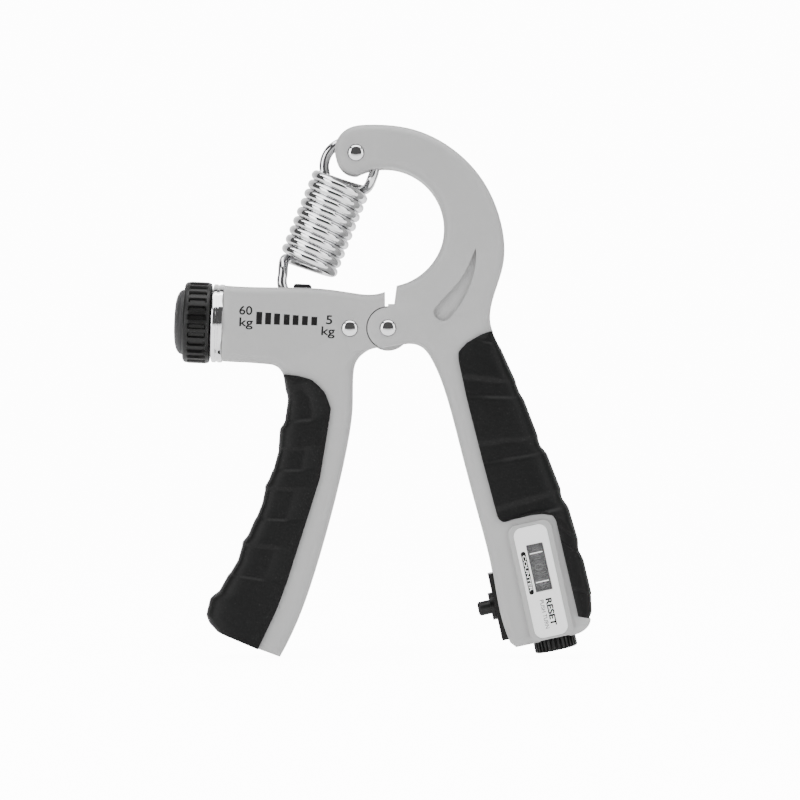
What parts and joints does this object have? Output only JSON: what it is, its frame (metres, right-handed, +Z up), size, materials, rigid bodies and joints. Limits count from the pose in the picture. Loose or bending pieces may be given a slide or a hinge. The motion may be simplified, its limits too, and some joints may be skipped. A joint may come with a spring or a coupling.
{
  "type": "hand grip strengthener",
  "caption": "Adjustable spring hand grip: arch lever with palm handle and repetition counter, hinged barrel lever with finger handle and load knob.",
  "frame": {"origin": "middle of the palm handle on the mid-plane, where the hand holds the grip", "axes": "+X from the finger handle to the palm handle, +Y to the back, +Z up from the handles to the arch"},
  "size_m": [0.1224, 0.0238, 0.1548],
  "materials": {
    "body_plastic": "satin light grey moulded ABS",
    "grip_rubber": "matte black thermoplastic rubber",
    "knob_plastic": "black ribbed plastic",
    "cap_plastic": "dark grey plastic",
    "chrome": "bright chrome plate",
    "steel": "zinc plated steel",
    "brass": "turned brass",
    "slider_plastic": "dark acetal",
    "label_plastic": "pale printed label",
    "lens": "clear window",
    "counter_black": "black plastic",
    "wheel_grey": "dark number wheel"
  },
  "bodies": {
    "arch_lever": {"arch_lever_frame": "body_plastic", "palm_grip": "grip_rubber", "pivot_pin": "chrome", "spring_pin": "chrome", "spring": "chrome", "counter_cover": "body_plastic", "counter_label": "label_plastic", "counter_window": "lens", "button_guide": "counter_black", "button_spring": "steel", "counter_frame": "steel", "detent_spring": "steel", "pinion_axle": "steel", "reset_spring": "steel"},
    "barrel_lever": {"barrel_lever_frame": "body_plastic", "finger_grip": "grip_rubber", "screw_end_bush": "brass", "barrel_end_bush": "slider_plastic", "barrel_collar": "chrome", "screw_end_pin": "chrome"},
    "adjuster": {"adjust_knob": "knob_plastic", "knob_end_cap": "cap_plastic", "knob_screw": "steel", "adjusting_screw": "steel"},
    "slider": {"slider_block": "slider_plastic", "slider_nut": "brass"},
    "count_button": {"count_button": "counter_black", "drive_pawl": "steel"},
    "reset_push": {"reset_washer": "brass"},
    "reset": {"reset_knob": "counter_black", "counter_axle": "steel"},
    "units": {"units_wheel": "wheel_grey", "ratchet_wheel": "wheel_grey"},
    "tens": {"tens_wheel": "wheel_grey"},
    "hundreds": {"hundreds_wheel": "wheel_grey"},
    "tens_pinion": {"tens_pinion": "wheel_grey"},
    "hundreds_pinion": {"hundreds_pinion": "wheel_grey"}
  },
  "joints": [
    {"name": "lever_hinge", "type": "hinge", "parent": "arch_lever", "child": "barrel_lever", "pos_m": [-0.0335, 0, 0.034], "axis": [0, -1, 0], "range_deg": [0, 34], "stiffness_Nm_per_rad": 16, "springref_deg": -5.73, "deforming": ["spring"]},
    {"name": "knob_turn", "type": "hinge", "parent": "barrel_lever", "child": "adjuster", "pos_m": [-0.0446, 0, 0.0339], "axis": [-0.9991, 0, 0.0419], "range_deg": [-2160, 720]},
    {"name": "slider_travel", "type": "slide", "parent": "barrel_lever", "child": "slider", "axis": [-0.9991, 0, 0.0419], "range_m": [-0.004, 0.012], "deforming": ["spring"]},
    {"name": "count_press", "type": "slide", "parent": "arch_lever", "child": "count_button", "axis": [0.9767, 0, 0.2147], "range_m": [0, 0.003], "stiffness_N_per_m": 300, "springref_m": -0.003, "deforming": ["button_spring"]},
    {"name": "reset_press", "type": "slide", "parent": "arch_lever", "child": "reset_push", "axis": [-0.2147, 0, 0.9767], "range_m": [0, 0.0015], "stiffness_N_per_m": 600, "springref_m": -0.002, "deforming": ["reset_spring"]},
    {"name": "reset_turn", "type": "hinge", "parent": "reset_push", "child": "reset", "pos_m": [0.0104, -0.004, -0.0354], "axis": [0.2147, 0, -0.9767], "continuous": true},
    {"name": "units_turn", "type": "hinge", "parent": "arch_lever", "child": "units", "pos_m": [0.0104, -0.004, -0.0354], "axis": [0.2147, 0, -0.9767], "continuous": true},
    {"name": "tens_turn", "type": "hinge", "parent": "arch_lever", "child": "tens", "pos_m": [0.0104, -0.004, -0.0354], "axis": [0.2147, 0, -0.9767], "continuous": true},
    {"name": "hundreds_turn", "type": "hinge", "parent": "arch_lever", "child": "hundreds", "pos_m": [0.0104, -0.004, -0.0354], "axis": [0.2147, 0, -0.9767], "continuous": true},
    {"name": "tens_pinion_turn", "type": "hinge", "parent": "arch_lever", "child": "tens_pinion", "pos_m": [0.0104, 0.0023, -0.0354], "axis": [0.2147, 0, -0.9767], "continuous": true},
    {"name": "hundreds_pinion_turn", "type": "hinge", "parent": "arch_lever", "child": "hundreds_pinion", "pos_m": [0.0104, 0.0023, -0.0354], "axis": [0.2147, 0, -0.9767], "continuous": true}
  ],
  "couplings": [
    {"joint": "slider_travel", "follows": "knob_turn", "m_per_rad": -0.00031831},
    {"joint": "tens_turn", "follows": "units_turn", "ratio": 0.1},
    {"joint": "hundreds_turn", "follows": "units_turn", "ratio": 0.01},
    {"joint": "tens_pinion_turn", "follows": "units_turn", "ratio": -0.25},
    {"joint": "hundreds_pinion_turn", "follows": "units_turn", "ratio": -0.025}
  ]
}
